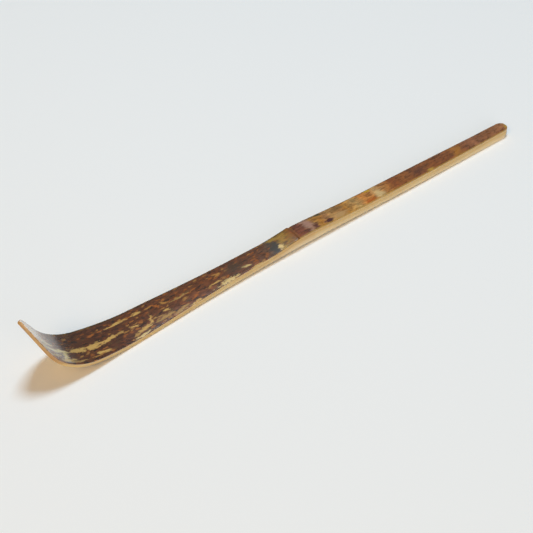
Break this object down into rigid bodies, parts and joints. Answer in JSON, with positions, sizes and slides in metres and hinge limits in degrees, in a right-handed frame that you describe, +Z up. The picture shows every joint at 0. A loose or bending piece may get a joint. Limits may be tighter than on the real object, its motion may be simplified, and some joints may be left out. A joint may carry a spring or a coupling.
{
  "type": "bamboo tea scoop",
  "caption": "Slender strip of mottled bamboo with a node at mid length, a slim rounded handle, and a tip steam-bent up into a shallow scoop.",
  "frame": {"origin": "on the surface it lies on, under the middle of its footprint", "axes": "+X along the strip from the scoop's tip to the handle's butt, +Y across the strip, +Z up, out of the skin side"},
  "size_m": [0.18, 0.0136, 0.0233],
  "materials": {
    "dark_mottled_skin": "glossy natural bamboo skin, dark brown with gold streaks",
    "olive_node_skin": "glossy natural bamboo skin, olive gold",
    "scar_tissue": "dull dark scar of the culm sheath",
    "reddish_mottled_skin": "glossy natural bamboo skin, reddish brown with orange and grey patches",
    "pale_flesh": "carved bamboo flesh with fine lengthwise fibres",
    "node_flesh": "carved bamboo flesh, denser and slightly darker at the node",
    "septum_tissue": "shaved root of the culm's septum, matt"
  },
  "bodies": {
    "root": {"scoop_skin": "dark_mottled_skin", "node_ridge": "olive_node_skin", "sheath_scar": "scar_tissue", "handle_skin": "reddish_mottled_skin", "scoop_flesh": "pale_flesh", "node_wood": "node_flesh", "septum_root": "septum_tissue", "handle_flesh": "pale_flesh"}
  },
  "joints": []
}
